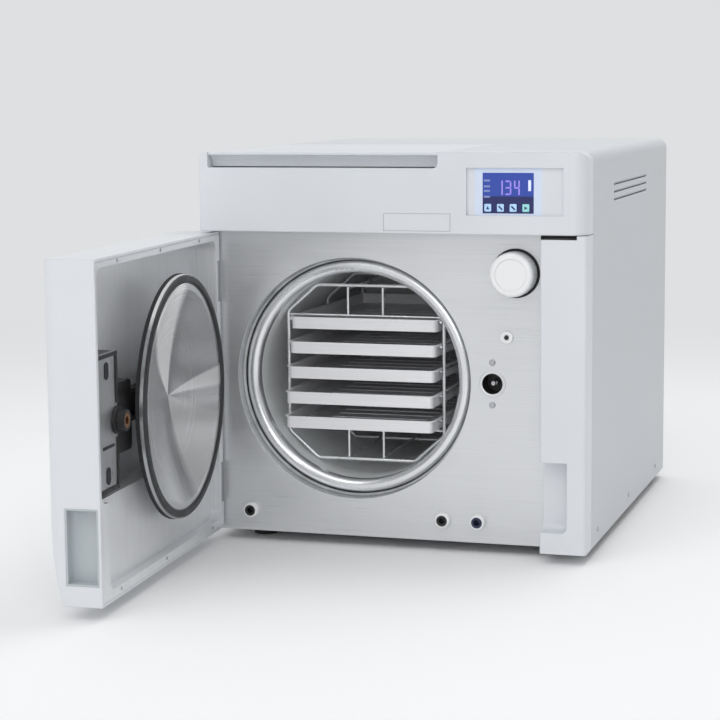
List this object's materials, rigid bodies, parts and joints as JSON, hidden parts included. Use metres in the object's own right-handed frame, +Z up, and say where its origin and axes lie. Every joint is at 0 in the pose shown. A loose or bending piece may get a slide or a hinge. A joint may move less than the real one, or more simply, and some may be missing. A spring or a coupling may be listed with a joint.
{
  "type": "tabletop steam autoclave",
  "caption": "Tabletop steam steriliser with a round chamber, side-hinged door carrying a dished sealing lid, wire rack with trays, keyed display and top water tanks.",
  "frame": {"origin": "on the bench, in the middle of the pattern of four feet", "axes": "+Z up, front with the door faces -Y, +X to the right seen from the front"},
  "size_m": [0.5026, 0.9467, 0.462],
  "materials": {
    "cover_white": "satin moulded, cool white",
    "sheet_white": "fine powder coat, cool white",
    "lid_white": "satin moulded",
    "steel_plate": "horizontal brushed grain",
    "steel_ring": "polished",
    "steel_vessel": "brushed round the bore",
    "steel_wire": "electropolished",
    "steel_pressed": "bead blasted",
    "lid_steel": "spun and polished",
    "tray_metal": "anodised, satin",
    "plain_steel": "zinc plated",
    "display_blue": "glossy blue",
    "display_frame": "pale halo",
    "key_light": "glossy",
    "board_green": "solder mask",
    "black_rubber": "matt",
    "seal_grey": "smooth silicone",
    "black_cast": "black coated",
    "black_plastic": "fine textured",
    "brass": "machined",
    "filter_white": "smooth",
    "tank_clear": "translucent white",
    "insulation": "glass fibre felt",
    "copper_heat": "banded heater"
  },
  "bodies": {
    "cabinet": {"feet": "black_rubber", "base_pan": "plain_steel", "front_plate": "steel_plate", "plate_screws": "plain_steel", "casing": "sheet_white", "header": "cover_white", "display_panel": "display_frame", "display_glass": "display_blue", "control_board": "board_green", "pillar": "cover_white", "chamber_vessel": "steel_vessel", "chamber_ring": "steel_ring", "heater_bands": "copper_heat", "chamber_jacket": "insulation", "chamber_cradles": "plain_steel", "hinge_brackets": "plain_steel", "hinge_pins": "plain_steel", "lock_cup": "black_plastic", "lock_motor": "plain_steel", "filter_socket": "black_rubber", "quick_ports": "filter_white", "switch_body": "filter_white", "tank_tub": "tank_clear", "tank_strainers": "black_plastic", "rear_panel": "sheet_white", "fan_frame": "black_plastic", "mains_inlet": "black_plastic", "drain_spigot": "brass", "vacuum_pump": "plain_steel", "steam_generator": "steel_vessel", "valve_manifold": "brass", "power_board": "board_green", "condenser": "tray_metal"},
    "door": {"door_shell": "cover_white", "door_grip_cup": "cover_white", "door_liner": "steel_pressed", "hinge_leaves": "plain_steel", "lid_carrier": "black_cast", "lock_nut": "brass", "nut_bracket": "steel_pressed"},
    "lid_stud": {"lid_ball_stud": "plain_steel"},
    "lid": {"lid_plate": "lid_steel", "lid_gasket": "seal_grey"},
    "rack": {"rack_hoops": "steel_wire", "rack_wires": "steel_wire"},
    "tank_cover": {"tank_lid": "lid_white"},
    "spindle": {"lock_spindle": "plain_steel"},
    "filter": {"air_filter": "filter_white"},
    "door_switch": {"switch_plunger": "black_plastic"},
    "fan": {"fan_rotor": "black_plastic"},
    "power_rocker": {"mains_rocker": "black_plastic"},
    "tray_1": {"tray_1": "tray_metal"},
    "tray_2": {"tray_2": "tray_metal"},
    "tray_3": {"tray_3": "tray_metal"},
    "tray_4": {"tray_4": "tray_metal"},
    "tray_5": {"tray_5": "tray_metal"},
    "key_1": {"key_1": "key_light"},
    "key_2": {"key_2": "key_light"},
    "key_3": {"key_3": "key_light"},
    "key_4": {"key_4": "key_light"}
  },
  "joints": [
    {"name": "door_hinge", "type": "hinge", "parent": "cabinet", "child": "door", "pos_m": [-0.221, -0.249, 0.198], "axis": [0, 0, -1], "range_deg": [-87, 5]},
    {"name": "lid_press", "type": "slide", "parent": "door", "child": "lid_stud", "axis": [-0.9986, -0.0523, 0], "range_m": [0, 0.003], "stiffness_N_per_m": 4000},
    {"name": "lid_tilt", "type": "hinge", "parent": "lid_stud", "child": "lid", "pos_m": [-0.22424, -0.4164, 0.198], "axis": [0, 0, -1], "range_deg": [0, 1.5]},
    {"name": "rack_slide", "type": "slide", "parent": "cabinet", "child": "rack", "axis": [0, -1, 0], "range_m": [0, 0.3]},
    {"name": "tank_lid_hinge", "type": "hinge", "parent": "cabinet", "child": "tank_cover", "pos_m": [-0.079, 0.018, 0.4575], "axis": [-1, 0, 0], "range_deg": [0, 80]},
    {"name": "lock_spindle_turn", "type": "hinge", "parent": "cabinet", "child": "spindle", "pos_m": [0.113, -0.215, 0.198], "axis": [0, -1, 0], "continuous": true},
    {"name": "filter_turn", "type": "hinge", "parent": "cabinet", "child": "filter", "pos_m": [0.14, -0.25, 0.325], "axis": [0, -1, 0], "continuous": true},
    {"name": "door_switch_press", "type": "slide", "parent": "cabinet", "child": "door_switch", "axis": [0, 1, 0], "range_m": [0, 0.003], "stiffness_N_per_m": 400},
    {"name": "fan_spin", "type": "hinge", "parent": "cabinet", "child": "fan", "pos_m": [0.15, 0.262, 0.312], "axis": [0, 1, 0], "continuous": true},
    {"name": "power_rocker_tilt", "type": "hinge", "parent": "cabinet", "child": "power_rocker", "pos_m": [0.16, 0.274, 0.072], "axis": [1, 0, 0], "range_deg": [-14, 0]},
    {"name": "tray_1_slide", "type": "slide", "parent": "rack", "child": "tray_1", "axis": [0, -1, 0], "range_m": [-0.012, 0.27]},
    {"name": "tray_2_slide", "type": "slide", "parent": "rack", "child": "tray_2", "axis": [0, -1, 0], "range_m": [-0.018, 0.27]},
    {"name": "tray_3_slide", "type": "slide", "parent": "rack", "child": "tray_3", "axis": [0, -1, 0], "range_m": [-0.025, 0.27]},
    {"name": "tray_4_slide", "type": "slide", "parent": "rack", "child": "tray_4", "axis": [0, -1, 0], "range_m": [-0.033, 0.27]},
    {"name": "tray_5_slide", "type": "slide", "parent": "rack", "child": "tray_5", "axis": [0, -1, 0], "range_m": [-0.035, 0.27]},
    {"name": "key_1_press", "type": "slide", "parent": "cabinet", "child": "key_1", "axis": [0, 1, 0], "range_m": [0, 0.0008], "stiffness_N_per_m": 1500},
    {"name": "key_2_press", "type": "slide", "parent": "cabinet", "child": "key_2", "axis": [0, 1, 0], "range_m": [0, 0.0008], "stiffness_N_per_m": 1500},
    {"name": "key_3_press", "type": "slide", "parent": "cabinet", "child": "key_3", "axis": [0, 1, 0], "range_m": [0, 0.0008], "stiffness_N_per_m": 1500},
    {"name": "key_4_press", "type": "slide", "parent": "cabinet", "child": "key_4", "axis": [0, 1, 0], "range_m": [0, 0.0008], "stiffness_N_per_m": 1500}
  ]
}
